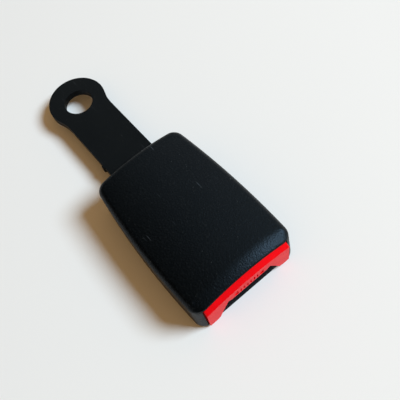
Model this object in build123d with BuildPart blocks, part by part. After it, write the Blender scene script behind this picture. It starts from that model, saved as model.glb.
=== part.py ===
from build123d import *
from math import cos, pi, radians, sin, sqrt, tan
import os

os.makedirs("parts", exist_ok=True)

# Seat belt buckle on a rigid steel stem, lying on its back.
# Millimetres. +Z is up, towards the crowned cover; the release button is at the -Y end.
# The origin is the centre of the anchor bolt hole, on the underside of the anchor plate.

# ---------------------------------------------------------------- driving dimensions

# anchor plate
bolt_hole_diameter = 12.0
head_radius = 12.2
head_offset = 1.2  # the round head's centre lies this far behind the bolt hole
plate_width = 20.3
plate_thickness = 3.0
neck_blend_radius = 20.0
plate_reach = 15.0  # length of plate inside the housing
plate_corner_radius = 2.0
shear_tab_from_hole = 34.0  # witness of the blanking strip on the left edge
shear_tab_length = 2.6
shear_tab_height = 0.7
shear_tab_root = 0.5
rivet_shank_diameter = 5.0
rivet_head_diameter = 8.4
rivet_head_height = 1.2
rivet_head_chamfer = 0.5
rivet_sink_diameter = 7.0
rivet_inset = 6.5  # rivets behind the plate's front end
rivet_pitch = 10.4  # between the two rivets, side by side

# housing
hole_to_housing = 45.0
housing_length = 63.0
housing_height = 18.6
rear_width = 37.7
front_width = 42.6
side_bow = 1.59  # how far each side bows out from a straight line, half way along
rear_corner_radius = 4.2
front_corner_radius = 4.5
crown_radius = 73.5
rib_from_lift_pin = 10.0
rib_width = 1.2
rib_length = 5.0
top_edge_radius = 2.4
bottom_edge_radius = 2.2
cavity_corner_radius = 2.5
front_lean = 1.9  # how far the mouth leans back between parting line and crown
cover_wall = 2.0
floor_thickness = 1.8
parting_height = 2.6  # parting line above the resting plane
mouth_pillar_depth = 3.5
mouth_pillar_width = 2.75
locating_lip_height = 3.0
locating_lip_thickness = 1.2
lip_from_frame_front = 10.0
sill_setback = 0.8
snap_width = 5.0
snap_height = 2.6
snap_catch = 0.5
snap_from_rear = 6.8
snap_pitch = 31.5

# steel frame
frame_thickness = 2.4
frame_wall = 2.0
frame_width = 28.0
frame_wall_height = 8.2
frame_ear_height = 10.2
ear_to_rear = 5.0  # the ear's flat top around the pivot
ear_to_front = 4.0
ear_step = 2.0
peg_diameter = 3.0
peg_spacing = 14.0
peg_from_plate = 6.0
peg_shortfall = 0.4  # pegs below the frame's base
frame_lead_in = 1.0
wall_chamfer = 1.5
frame_rear_gap = 2.3  # frame end behind the housing's rear face
frame_bend_radius = 2.0

# release button
button_face_proud = 0.2
button_front_wall = 2.2
button_skin = 1.8
button_cap_length = 11.2
button_travel = 5.0
button_bottom_clearance = 0.9  # button's lower edge above the resting plane
button_lug = 1.4  # stops the button against the mouth's pillars
button_lug_height = 6.0
button_bevel_depth = 1.65
button_bevel_height = 1.8
arch_bottom_width = 27.0
arch_top_width = 18.4
arch_top_height = 8.4  # above the resting plane
arch_lead_in = 0.7
arm_share = 0.58  # of the room between the frame and the cap's side
arm_lower_height = 2.0  # arm's underside above the frame's base
arm_past_lift_pin = 2.0
arm_pad_thickness = 1.5
arm_root = 1.0
grip_width = 12.6  # recess with upright grip ribs above the arch
grip_height = 2.4
grip_depth = 0.3
grip_rib_count = 7
grip_rib_width = 0.9
grip_from_arch = 1.3

# latch
latch_thickness = 1.8
latch_plate_height = 4.3  # underside of the latch plate above the frame's base
latch_width = 22.8
latch_nose_width = 10.4
latch_ear_height = 5.1
latch_ear_radius = 1.2
latch_past_lift_pin = 2.2
latch_over_lift_pin = 1.6
latch_lift_angle = 12.0
hook_width = 9.0
hook_depth = 1.9  # how far the hook's tip stands in the frame's window
hook_lock_from_pivot = housing_length * 22.9 / 63
hook_length = 5.1
hook_tip_length = 2.6
hook_back_slope = 0.3
hook_root = 0.2
latch_taper = 6.0
latch_past_pin = 2.6  # latch behind its pivot
pivot_from_rear = housing_length * 17 / 63
pivot_height = 7.6
pivot_pin_diameter = 2.8
pivot_head_diameter = 4.0
pivot_head_thickness = 1.0
lift_pin_diameter = 2.0
lift_pin_from_pivot = 10.0
lift_pin_height = 7.2
lift_pin_length = 32.0
clip_diameter = 4.4
clip_thickness = 0.6
clip_groove_depth = 0.3
clip_mouth_share = 0.8  # the clip's mouth against its bore
clip_eye_radius = 0.4
clip_eye_from_centre = 1.75
clip_eye_turns = (200, 340)
pin_end_length = 0.8
pin_chamfer = 0.3

# ejector
ejector_width = 21.2
ejector_height = 3.7
ejector_length = housing_length * 13 / 63
ejector_travel = housing_length * 12 / 63
ejector_prong_length = 8.0
ejector_corner_radius = 1.0
ejector_nose_bevel = 0.8
ejector_bore_depth = 3.0
ejector_spring_room = 3.0  # what the closed spring takes up behind the ejector

# tongue guide
guide_thickness = 1.3
guide_length = housing_length * 8 / 63
guide_peg_diameter = 2.8
guide_peg_from_front = 5.5
guide_peg_shortfall = 0.3
guide_setback = 1.0
tongue_channel_width = 21.8

# springs
button_spring_wire = 0.5
button_spring_turns = 6
button_spring_length = 11.2
button_spring_height = 3.6
ejector_spring_diameter = 3.3
ejector_spring_wire = 0.45
ejector_spring_turns = 8
latch_spring_diameter = 5.0
latch_spring_wire = 0.6
latch_spring_turns = 4
latch_spring_from_pivot = 5.2
latch_stub_height = 1.2
spring_post_thickness = 1.8
spring_post_over_coil = 0.6
spring_stub_length = 2.0
spring_cup_depth = 1.5
spring_cup_wall = 1.1
spring_stub_gap = 0.2  # stub to the inside of its coil
coil_gap = 0.05  # coil to its seats
coil_runs_per_turn = 10

# how shapes are made
spare = 1.0  # how far a trimming shape reaches past what it trims
touch = 0.01  # edges within this distance of a place are at it

# clearances
cover_fit = 0.15  # bottom cover's lip inside the top cover
slide_gap = 0.35  # button to covers
frame_gap = 0.4  # button arms to frame
rest_gap = 0.1  # between pieces that rest against each other
stem_gap = 0.45  # stem to its notch, each side
pin_fit = 0.05  # radial running fit of pins
press_fit = 0.02  # radial fit of pressed pins
ramp_gap = 0.15  # ramp to lift pin
pin_head_gap = 0.05
ejector_gap = 0.2
sill_gap = 0.5
skirt_gap = 0.5  # button's skirt above the floor
stop_gap = 0.5  # pressed button to the frame
hook_side_gap = 0.7  # hook to its window
hook_front_gap = 1.5
ejector_hook_gap = 0.8
slot_side_gap = 0.4  # lift pin to its slots
slot_bottom_gap = 0.35
spring_side_gap = 0.4  # button springs to frame and cover

# ---------------------------------------------------------------- derived places

table_z = -(floor_thickness + frame_thickness)
floor_z = table_z + floor_thickness
parting_z = table_z + parting_height
crown_z = table_z + housing_height
rear_y = -hole_to_housing
front_y = rear_y - housing_length
face_y = front_y - button_face_proud
frame_rear_y = rear_y - frame_rear_gap
frame_front_y = face_y + button_front_wall + button_travel + stop_gap
plate_end_y = rear_y - plate_reach
pivot_y = rear_y - pivot_from_rear
lift_pin_y = pivot_y - lift_pin_from_pivot
hook_lock_y = pivot_y - hook_lock_from_pivot
arm_end_y = lift_pin_y + arm_past_lift_pin
spring_seat_y = arm_end_y + button_spring_length
cavity_front_y = front_y + mouth_pillar_depth
mouth_half = front_width / 2 - mouth_pillar_width
button_half = mouth_half - slide_gap
button_width = 2 * button_half
button_bottom_z = table_z + button_bottom_clearance
arch_top_z = table_z + arch_top_height
frame_half = frame_width / 2
frame_inner_half = frame_half - frame_wall
latch_top_z = latch_plate_height + latch_thickness
rivet_y = plate_end_y + rivet_inset
rivet_xs = [-rivet_pitch / 2, rivet_pitch / 2]
snap_ys = [rear_y - snap_from_rear, rear_y - snap_from_rear - snap_pitch]
peg_y = plate_end_y - peg_from_plate
peg_xs = [-peg_spacing / 2, peg_spacing / 2]
across = Plane.YZ  # side view: local x runs along Y, local y along Z

# a rounded edge is made of three flats: one chamfer, then a smaller one along both of its sides
roll_first = 2 - sqrt(2)
roll_second = 1 - tan(pi / 16) - roll_first


def crown_height(x, drop):
    """Height of the crowned top, lowered by drop, at a distance x from the middle."""
    return crown_z - drop - crown_radius + sqrt(crown_radius**2 - x**2)


rear_half = rear_width / 2
front_half = front_width / 2
bowed_half = (rear_half + front_half) / 2 + side_bow
bowed_y = (rear_y + front_y) / 2
side_arc = Edge.make_three_point_arc((rear_half, rear_y), (bowed_half, bowed_y), (front_half, front_y))
overall_width = 2 * (side_arc.arc_center.X + side_arc.radius)


def half_width(y):
    """Half width of the housing at a place along its length."""
    centre = side_arc.arc_center
    return centre.X + sqrt(side_arc.radius**2 - (y - centre.Y) ** 2)


def housing_plan(front, inset, mouth_corner=front_corner_radius):
    """Plan of the flared housing that ends at front, moved in by inset all round."""
    with BuildSketch(mode=Mode.PRIVATE) as plan:
        with BuildLine():
            ThreePointArc((rear_half, rear_y), (bowed_half, bowed_y), (front_half, front))
            Line((front_half, front), (-front_half, front))
            ThreePointArc((-front_half, front), (-bowed_half, bowed_y), (-rear_half, rear_y))
            Line((-rear_half, rear_y), (rear_half, rear_y))
        make_face()
        fillet(plan.vertices().group_by(Axis.Y)[-1], rear_corner_radius)
        fillet(plan.vertices().group_by(Axis.Y)[0], mouth_corner)
        if inset:
            offset(amount=-inset, mode=Mode.REPLACE)
    return plan.sketch


def below_crown(drop):
    """Everything below the crowned top lowered by drop, for trimming by intersection."""
    span = overall_width / 2 + spare
    edge_z = crown_height(span, drop)
    with BuildPart(mode=Mode.PRIVATE) as trimmer:
        with BuildSketch(Plane.XZ):
            with BuildLine():
                ThreePointArc((-span, edge_z), (0, crown_z - drop), (span, edge_z))
                Polyline((span, edge_z), (span, table_z - spare), (-span, table_z - spare), (-span, edge_z))
            make_face()
        extrude(amount=2 * (hole_to_housing + housing_length), both=True)
    return trimmer.part


def side_prism(points, half):
    """Prism of a side-view outline, the same width to both sides of the middle."""
    with BuildPart(mode=Mode.PRIVATE) as prism:
        with BuildSketch(across):
            Polygon(*points, align=None)
        extrude(amount=half, both=True)
    return prism.part


def flat_edges_above(part, height):
    """The topmost edge of each upright face that stands on the parting plane and reaches height."""
    walls = [f for f in part.faces() if abs(f.bounding_box().min.Z - parting_z) < touch]
    return [f.edges().sort_by(Axis.Z)[-1] for f in walls if f.bounding_box().max.Z > height]


def coil_spring(start, direction, length, diameter, wire, turns):
    """Wire coil in short straight runs, whose outer ends lie at start and at length along direction."""
    run = length - wire
    radius = (diameter - wire) / 2
    steps = turns * coil_runs_per_turn
    base = Plane(origin=start, z_dir=direction)
    points = []
    for i in range(steps + 1):
        turn = 2 * pi * i / coil_runs_per_turn
        place = Vector(radius * cos(turn), radius * sin(turn), wire / 2 + run * i / steps)
        points.append(base.from_local_coords(place))
    with BuildPart(mode=Mode.PRIVATE) as coil:
        with BuildLine() as path:
            Polyline(*points)
        with BuildSketch(Plane(origin=points[0], z_dir=path.line % 0)):
            RegularPolygon(wire / 2, 6)
        sweep(transition=Transition.RIGHT)
    return coil.part


def cover_room():
    """Room inside the top cover, with the mouth for the button open to the front."""
    with BuildPart(mode=Mode.PRIVATE) as room:
        with BuildSketch(Plane.XY.offset(parting_z)):
            add(cavity_plan)
            with Locations((0, front_y)):
                Rectangle(2 * mouth_half, 3 * mouth_pillar_depth)
        extrude(amount=housing_height)
        add(ceiling, mode=Mode.INTERSECT)
    return room.part


outer_plan = housing_plan(front_y, 0)
leaning_plan = housing_plan(front_y + front_lean, 0)
cavity_plan = housing_plan(cavity_front_y - cover_wall, cover_wall, cavity_corner_radius)
lip_plan = housing_plan(cavity_front_y - cover_wall, cover_wall + cover_fit)
lip_inner_plan = housing_plan(cavity_front_y - cover_wall, cover_wall + cover_fit + locating_lip_thickness)
catch_plan = housing_plan(cavity_front_y - cover_wall, cover_wall + cover_fit - snap_catch)
pocket_plan = housing_plan(cavity_front_y - cover_wall, cover_wall - snap_catch - cover_fit)
outer_crown = below_crown(0)
ceiling = below_crown(cover_wall)
room = cover_room()

# ---------------------------------------------------------------- top cover

notch_half = plate_width / 2 + stem_gap
notch_top_z = plate_thickness + rest_gap
snap_top_z = parting_z + locating_lip_height + snap_height
latch_spring_y = pivot_y - latch_spring_from_pivot
rib_y = lift_pin_y - rib_from_lift_pin

with BuildPart() as top_cover:
    with BuildSketch(Plane.XY.offset(parting_z)):
        add(outer_plan)
    with BuildSketch(Plane.XY.offset(crown_z + spare)):
        add(leaning_plan)
    loft(ruled=True)
    add(outer_crown, mode=Mode.INTERSECT)
    chamfer(top_cover.faces().sort_by(Axis.Z)[-1].edges(), roll_first * top_edge_radius)
    roll_inner = top_cover.faces().sort_by(Axis.Z)[-1].edges()
    roll_outer = flat_edges_above(top_cover, floor_z + top_edge_radius)
    chamfer(roll_inner + roll_outer, roll_second * top_edge_radius)
    add(room, mode=Mode.SUBTRACT)

    # notch for the stem in the rear wall
    with BuildSketch(Plane.XY.offset(parting_z)):
        with Locations((0, rear_y)):
            Rectangle(2 * notch_half, 3 * cover_wall)
    extrude(amount=notch_top_z - parting_z, mode=Mode.SUBTRACT)

    # pockets for the four snap catches
    for y in snap_ys:
        with BuildSketch(Plane.XY.offset(snap_top_z - snap_height - cover_fit)):
            add(pocket_plan)
            add(lip_inner_plan, mode=Mode.SUBTRACT)
            with Locations((0, y)):
                Rectangle(overall_width, snap_width + 4 * cover_fit, mode=Mode.INTERSECT)
        extrude(amount=snap_height + 2 * cover_fit, mode=Mode.SUBTRACT)

    # ribs that hold the frame's walls down, and the cup of the latch spring
    rib_x = frame_half - frame_wall / 2
    with BuildSketch(Plane.XY.offset(frame_wall_height + rest_gap)):
        with Locations((rib_x, rib_y), (-rib_x, rib_y)):
            Rectangle(rib_width, rib_length)
    extrude(amount=crown_height(rib_x, cover_wall / 2) - frame_wall_height - rest_gap)
    cup_radius = latch_spring_diameter / 2 + cover_fit
    with BuildSketch(Plane.XY.offset(crown_z - cover_wall - spring_cup_depth)):
        with Locations((0, latch_spring_y)):
            Circle(cup_radius + spring_cup_wall)
            Circle(cup_radius, mode=Mode.SUBTRACT)
    extrude(amount=spring_cup_depth + cover_wall / 2)

# ---------------------------------------------------------------- bottom cover

spring_room = half_width(spring_seat_y) - cover_wall - frame_half
button_spring_offset = frame_half + spring_room / 2
button_spring_diameter = spring_room - 2 * spring_side_gap
button_stub_radius = button_spring_diameter / 2 - button_spring_wire - spring_stub_gap
pocket_z = button_bottom_z - slide_gap
arch_slope = (arch_bottom_width - arch_top_width) / 2 / (arch_top_z - button_bottom_z)
sill_top_z = -0.6
sill_chamfer = 1.6


def arch_half(z):
    """Half width of the button's arch at height z."""
    return arch_bottom_width / 2 - arch_slope * (z - button_bottom_z)


with BuildPart() as bottom_cover:
    with BuildSketch(Plane.XY.offset(table_z)):
        add(outer_plan)
    extrude(amount=parting_height)
    chamfer(bottom_cover.faces().sort_by(Axis.Z)[0].edges(), roll_first * bottom_edge_radius)
    roll_inner = bottom_cover.faces().sort_by(Axis.Z)[0].edges()
    roll_outer_z = table_z + roll_first * bottom_edge_radius
    roll_outer = bottom_cover.edges().filter_by_position(Axis.Z, roll_outer_z - touch, roll_outer_z + touch)
    chamfer(roll_inner + roll_outer, roll_second * bottom_edge_radius)

    # tray, deeper in front of the frame where the button's lower edge runs
    with BuildSketch(Plane.XY.offset(floor_z)):
        add(cavity_plan)
    extrude(amount=housing_height, mode=Mode.SUBTRACT)
    with BuildSketch(Plane.XY.offset(pocket_z)):
        with Locations((0, frame_front_y)):
            Rectangle(2 * mouth_half, 2 * housing_length, align=(Align.CENTER, Align.MAX))
    extrude(amount=housing_height, mode=Mode.SUBTRACT)

    # sill that the tongue slides over, parallel to the sides of the button's arch
    with BuildSketch(Plane.XZ.offset(-frame_front_y)):
        bottom_half = arch_half(pocket_z) - sill_gap
        top_half = arch_half(sill_top_z) - sill_gap
        Polygon(
            (-bottom_half, pocket_z),
            (bottom_half, pocket_z),
            (top_half, sill_top_z),
            (-top_half, sill_top_z),
            align=None,
        )
    extrude(amount=frame_front_y - front_y - sill_setback)
    sill_edges = bottom_cover.edges().filter_by(Axis.X)
    sill_edges = sill_edges.filter_by_position(Axis.Z, sill_top_z - touch, sill_top_z + touch)
    chamfer(sill_edges.sort_by(Axis.Y)[0], sill_chamfer)

    # lip inside the top cover, and the rear wall under the stem
    with BuildSketch(Plane.XY.offset(floor_z)):
        add(lip_plan)
        add(lip_inner_plan, mode=Mode.SUBTRACT)
        with Locations((0, frame_front_y + lip_from_frame_front)):
            Rectangle(2 * overall_width, housing_length, align=(Align.CENTER, Align.MAX), mode=Mode.SUBTRACT)
        with Locations((0, rear_y)):
            Rectangle(frame_width + 2 * frame_gap, 4 * cover_wall, mode=Mode.SUBTRACT)
    extrude(amount=parting_z + locating_lip_height - floor_z)
    with BuildSketch(Plane.XY.offset(floor_z)):
        with Locations((0, rear_y)):
            Rectangle(2 * notch_half - 2 * cover_fit, cover_wall, align=(Align.CENTER, Align.MAX))
    extrude(amount=-rest_gap - floor_z)

    # four snap arms, each with a catch that stands out into its pocket
    for y in snap_ys:
        with BuildSketch(Plane.XY.offset(floor_z)):
            add(lip_plan)
            add(lip_inner_plan, mode=Mode.SUBTRACT)
            with Locations((0, y)):
                Rectangle(overall_width, snap_width, mode=Mode.INTERSECT)
        extrude(amount=snap_top_z - floor_z)
        with BuildSketch(Plane.XY.offset(snap_top_z - snap_height)):
            add(catch_plan)
            add(lip_inner_plan, mode=Mode.SUBTRACT)
            with Locations((0, y)):
                Rectangle(overall_width, snap_width, mode=Mode.INTERSECT)
        extrude(amount=snap_height / 2)

    # posts behind the button springs, with a stub inside each coil
    post_top_z = button_spring_height + button_spring_diameter / 2 + spring_post_over_coil
    for side in (-1, 1):
        with BuildSketch(Plane.XY.offset(floor_z)):
            with Locations((side * button_spring_offset, spring_seat_y)):
                Rectangle(button_spring_diameter, spring_post_thickness, align=(Align.CENTER, Align.MIN))
        extrude(amount=post_top_z - floor_z)
        with BuildSketch(Plane.XZ.offset(-spring_seat_y)):
            with Locations((side * button_spring_offset, button_spring_height)):
                Circle(button_stub_radius)
        extrude(amount=spring_stub_length)

    # two pegs that locate the frame
    with BuildSketch(Plane.XY.offset(floor_z)):
        with Locations(*[(x, peg_y) for x in peg_xs]):
            Circle(peg_diameter / 2)
    extrude(amount=frame_thickness - peg_shortfall)

# ---------------------------------------------------------------- steel frame

window_half = hook_width / 2 + hook_side_gap
window_length = hook_side_gap + hook_tip_length + hook_front_gap
hook_front_bottom_y = hook_lock_y - hook_tip_length
guide_peg_y = frame_front_y + guide_peg_from_front
guide_peg_z = latch_plate_height + guide_peg_diameter / 2 - guide_thickness / 2
ear_rear_y = pivot_y + ear_to_rear
ear_front_y = pivot_y - ear_to_front

with BuildPart() as buckle_frame:
    with BuildSketch(Plane.XZ.offset(-frame_rear_y)) as channel:
        with Locations((0, -frame_thickness)):
            Rectangle(frame_width, frame_thickness + frame_ear_height, align=(Align.CENTER, Align.MIN))
        fillet(channel.vertices().group_by(Axis.Y)[0], frame_bend_radius)
        Rectangle(2 * frame_inner_half, 2 * frame_ear_height, align=(Align.CENTER, Align.MIN), mode=Mode.SUBTRACT)
    extrude(amount=frame_rear_y - frame_front_y)

    # side view of the walls: low in front, an ear around the pivot, sloping down to the rear
    with BuildSketch(across):
        Polygon(
            (frame_front_y, -frame_thickness),
            (frame_rear_y, -frame_thickness),
            (frame_rear_y, frame_wall_height / 2),
            (ear_rear_y, frame_ear_height),
            (ear_front_y, frame_ear_height),
            (ear_front_y - ear_step, frame_wall_height),
            (frame_front_y + wall_chamfer, frame_wall_height),
            (frame_front_y, frame_wall_height - wall_chamfer),
            align=None,
        )
    extrude(amount=frame_width, both=True, mode=Mode.INTERSECT)

    # pivot holes, open slots for the lift pin, holes for the guide's pegs
    with BuildSketch(across):
        with Locations((pivot_y, pivot_height)):
            Circle(pivot_pin_diameter / 2 + pin_fit)
        with Locations((lift_pin_y, lift_pin_height - lift_pin_diameter / 2 - slot_bottom_gap)):
            Rectangle(lift_pin_diameter + 2 * slot_side_gap, frame_ear_height, align=(Align.CENTER, Align.MIN))
        with Locations((guide_peg_y, guide_peg_z)):
            Circle(guide_peg_diameter / 2 + cover_fit)
    extrude(amount=frame_width, both=True, mode=Mode.SUBTRACT)

    # window for the hook, holes for the rivets and the locating pegs
    with BuildSketch(Plane.XY.offset(-frame_thickness)):
        with Locations((0, hook_lock_y + hook_side_gap)):
            Rectangle(2 * window_half, window_length, align=(Align.CENTER, Align.MAX))
        with Locations(*[(x, peg_y) for x in peg_xs]):
            Circle(peg_diameter / 2 + cover_fit)
    extrude(amount=frame_thickness, mode=Mode.SUBTRACT)
    with Locations(*[Location((x, rivet_y, -frame_thickness), (180, 0, 0)) for x in rivet_xs]):
        CounterSinkHole(rivet_shank_diameter / 2 + press_fit, rivet_sink_diameter / 2 + press_fit, frame_thickness)

    # lead-in at the front of the base
    front_edges = buckle_frame.edges().filter_by(Axis.X)
    front_edges = front_edges.filter_by_position(Axis.Y, frame_front_y - touch, frame_front_y + touch)
    chamfer(front_edges.filter_by_position(Axis.Z, -touch, touch), frame_lead_in)

# ---------------------------------------------------------------- anchor plate and rivets

tab_y = -shear_tab_from_hole
tab_x = plate_width / 2

with BuildPart() as anchor_plate:
    with BuildSketch() as blank:
        with Locations((0, head_offset)):
            Circle(head_radius)
        with Locations((0, plate_end_y)):
            Rectangle(plate_width, head_offset - plate_end_y, align=(Align.CENTER, Align.MIN))
        neck = blank.vertices().filter_by_position(Axis.Y, -head_radius, 0)
        fillet(neck, neck_blend_radius)
        fillet(blank.vertices().group_by(Axis.Y)[0], plate_corner_radius)
        Polygon(
            (-tab_x + shear_tab_root, tab_y + shear_tab_length / 2),
            (-tab_x - shear_tab_height, tab_y + shear_tab_length / 4),
            (-tab_x - shear_tab_height, tab_y - shear_tab_length / 4),
            (-tab_x + shear_tab_root, tab_y - shear_tab_length / 2),
            align=None,
        )
        Circle(bolt_hole_diameter / 2, mode=Mode.SUBTRACT)
        with Locations(*[(x, rivet_y) for x in rivet_xs]):
            Circle(rivet_shank_diameter / 2 + press_fit, mode=Mode.SUBTRACT)
    extrude(amount=plate_thickness)

rivet_shank = rivet_shank_diameter / 2
rivet_head = rivet_head_diameter / 2
rivet_sink = rivet_sink_diameter / 2
sink_depth = rivet_sink - rivet_shank
rivet_top_z = plate_thickness + rivet_head_height

with BuildPart() as anchor_rivets:
    for x in rivet_xs:
        with BuildSketch(Plane.XZ.offset(-rivet_y)):
            Polygon(
                (x, -frame_thickness),
                (x + rivet_sink, -frame_thickness),
                (x + rivet_shank, sink_depth - frame_thickness),
                (x + rivet_shank, plate_thickness),
                (x + rivet_head, plate_thickness),
                (x + rivet_head, rivet_top_z - rivet_head_chamfer),
                (x + rivet_head - rivet_head_chamfer, rivet_top_z),
                (x, rivet_top_z),
                align=None,
            )
        revolve(axis=Axis((x, rivet_y, 0), (0, 0, 1)))

# ---------------------------------------------------------------- latch and its pins

latch_rear_y = pivot_y + latch_past_pin
latch_ear_front_y = lift_pin_y - latch_past_lift_pin
latch_nose_y = hook_lock_y - hook_length
ear_x = latch_width / 2

# hook: slanted in front so that a tongue lifts it, upright behind
hook = side_prism(
    [
        (latch_nose_y, latch_plate_height + hook_root),
        (latch_nose_y, latch_plate_height),
        (hook_front_bottom_y, -hook_depth),
        (hook_lock_y - hook_back_slope, -hook_depth),
        (hook_lock_y, latch_plate_height),
        (hook_lock_y, latch_plate_height + hook_root),
    ],
    hook_width / 2,
)

with BuildPart() as latch:
    with BuildSketch(Plane.XY.offset(latch_plate_height)):
        with BuildLine():
            Polyline(
                (0, latch_rear_y),
                (ear_x, latch_rear_y),
                (ear_x, latch_ear_front_y),
                (latch_nose_width / 2, latch_ear_front_y - latch_taper),
                (latch_nose_width / 2, latch_nose_y),
                (0, latch_nose_y),
            )
            mirror(about=Plane.YZ)
        make_face()
    extrude(amount=latch_thickness)

    # up-turned ears with the bores of both pins
    with BuildSketch(across.offset(ear_x - latch_thickness)) as ear:
        with BuildLine():
            Polyline(
                (latch_rear_y, latch_plate_height),
                (latch_rear_y, latch_plate_height + latch_ear_height),
                (pivot_y - latch_past_pin, latch_plate_height + latch_ear_height),
                (latch_ear_front_y, lift_pin_height + latch_over_lift_pin),
                (latch_ear_front_y, latch_plate_height),
                (latch_rear_y, latch_plate_height),
            )
        make_face()
        fillet(ear.vertices().filter_by_position(Axis.Y, lift_pin_height, frame_ear_height), latch_ear_radius)
    extrude(amount=latch_thickness)
    mirror(about=Plane.YZ)
    with BuildSketch(across):
        with Locations((pivot_y, pivot_height)):
            Circle(pivot_pin_diameter / 2 + pin_fit)
        with Locations((lift_pin_y, lift_pin_height)):
            Circle(lift_pin_diameter / 2 + press_fit)
    extrude(amount=latch_width, both=True, mode=Mode.SUBTRACT)

    add(hook)

    # stub that centres the latch spring
    with BuildSketch(Plane.XY.offset(latch_top_z)):
        with Locations((0, latch_spring_y)):
            Circle(latch_spring_diameter / 2 - latch_spring_wire - spring_stub_gap)
    extrude(amount=latch_stub_height)

pin_head_x = frame_half + pin_head_gap
clip_x = frame_half + rest_gap
groove_radius = pivot_pin_diameter / 2 - clip_groove_depth

with BuildPart() as latch_pivot_pin:
    with BuildSketch(across.offset(-pin_head_x)):
        with Locations((pivot_y, pivot_height)):
            Circle(pivot_pin_diameter / 2)
    extrude(amount=pin_head_x + clip_x + clip_thickness + pin_end_length)
    with BuildSketch(across.offset(-pin_head_x)):
        with Locations((pivot_y, pivot_height)):
            Circle(pivot_head_diameter / 2)
    extrude(amount=-pivot_head_thickness)
    with BuildSketch(across.offset(clip_x)):
        with Locations((pivot_y, pivot_height)):
            Circle(pivot_pin_diameter)
            Circle(groove_radius, mode=Mode.SUBTRACT)
    extrude(amount=clip_thickness + rest_gap, mode=Mode.SUBTRACT)
    chamfer(latch_pivot_pin.faces().sort_by(Axis.X)[-1].edges(), pin_chamfer)

with BuildPart() as pivot_pin_clip:
    with BuildSketch(across.offset(clip_x)):
        with Locations((pivot_y, pivot_height)):
            Circle(clip_diameter / 2)
            Circle(groove_radius + press_fit, mode=Mode.SUBTRACT)
        with Locations((pivot_y, pivot_height)):
            clip_mouth = 2 * groove_radius * clip_mouth_share
            Rectangle(clip_mouth, clip_diameter, align=(Align.CENTER, Align.MIN), mode=Mode.SUBTRACT)
        for turn in clip_eye_turns:
            eye_y = pivot_y + clip_eye_from_centre * cos(radians(turn))
            eye_z = pivot_height + clip_eye_from_centre * sin(radians(turn))
            with Locations((eye_y, eye_z)):
                Circle(clip_eye_radius, mode=Mode.SUBTRACT)
    extrude(amount=clip_thickness)

with BuildPart() as latch_lift_pin:
    with BuildSketch(across.offset(-lift_pin_length / 2)):
        with Locations((lift_pin_y, lift_pin_height)):
            Circle(lift_pin_diameter / 2)
    extrude(amount=lift_pin_length)
    chamfer(latch_lift_pin.edges().filter_by(GeomType.CIRCLE), pin_chamfer)

# ---------------------------------------------------------------- ejector

ejector_rear_y = plate_end_y - ejector_travel - ejector_spring_room
ejector_front_y = ejector_rear_y - ejector_length
prong_gap_half = hook_width / 2 + ejector_hook_gap
ejector_mid_z = ejector_gap + ejector_height / 2
ejector_top_z = ejector_gap + ejector_height
nose_cut = side_prism(
    [
        (ejector_front_y, ejector_top_z - ejector_nose_bevel),
        (ejector_front_y + ejector_nose_bevel, ejector_top_z),
        (ejector_front_y, ejector_top_z),
    ],
    ejector_width,
)

with BuildPart() as ejector:
    with BuildSketch(Plane.XY.offset(ejector_gap)) as fork:
        with Locations((0, ejector_rear_y)):
            Rectangle(ejector_width, ejector_length, align=(Align.CENTER, Align.MAX))
        with Locations((0, ejector_front_y)):
            Rectangle(2 * prong_gap_half, ejector_prong_length, align=(Align.CENTER, Align.MIN), mode=Mode.SUBTRACT)
        fillet(fork.vertices(), ejector_corner_radius)
    extrude(amount=ejector_height)
    with BuildSketch(Plane.XZ.offset(-ejector_rear_y)):
        with Locations((0, ejector_mid_z)):
            Circle(ejector_spring_diameter / 2 + rest_gap)
    extrude(amount=ejector_bore_depth, mode=Mode.SUBTRACT)
    add(nose_cut, mode=Mode.SUBTRACT)

# ---------------------------------------------------------------- release button

arm_inner_x = frame_half + frame_gap
arm_thickness = arm_share * (button_half - arm_inner_x)
ramp_slope = lift_pin_from_pivot * sin(radians(latch_lift_angle)) / button_travel
ramp_cosine = 1 / sqrt(1 + ramp_slope**2)
ramp_z = lift_pin_height - (lift_pin_diameter / 2 + ramp_gap) / ramp_cosine
arm_low_z = lift_pin_height - lift_pin_diameter / 2 - 2 * ramp_gap
ramp_foot_y = lift_pin_y - (arm_low_z - ramp_z) / ramp_slope
ramp_top_y = lift_pin_y - button_travel - 2 * ramp_gap
arm_high_z = ramp_z - ramp_slope * (ramp_top_y - lift_pin_y)
button_room = below_crown(cover_wall + slide_gap)
button_hollow = below_crown(cover_wall + slide_gap + button_skin)
skirt_z = floor_z + skirt_gap
grip_z = arch_top_z + grip_from_arch
grip_step = (grip_width - grip_rib_width) / (grip_rib_count + 1)


def button_core():
    """Hollow of the button's cap."""
    with BuildPart(mode=Mode.PRIVATE) as hollow:
        with BuildSketch(Plane.XY.offset(button_bottom_z)):
            with Locations((0, face_y + button_front_wall)):
                Rectangle(button_width - 2 * button_skin, button_cap_length, align=(Align.CENTER, Align.MIN))
        extrude(amount=housing_height)
        add(button_hollow, mode=Mode.INTERSECT)
    return hollow.part


core = button_core()

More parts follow.
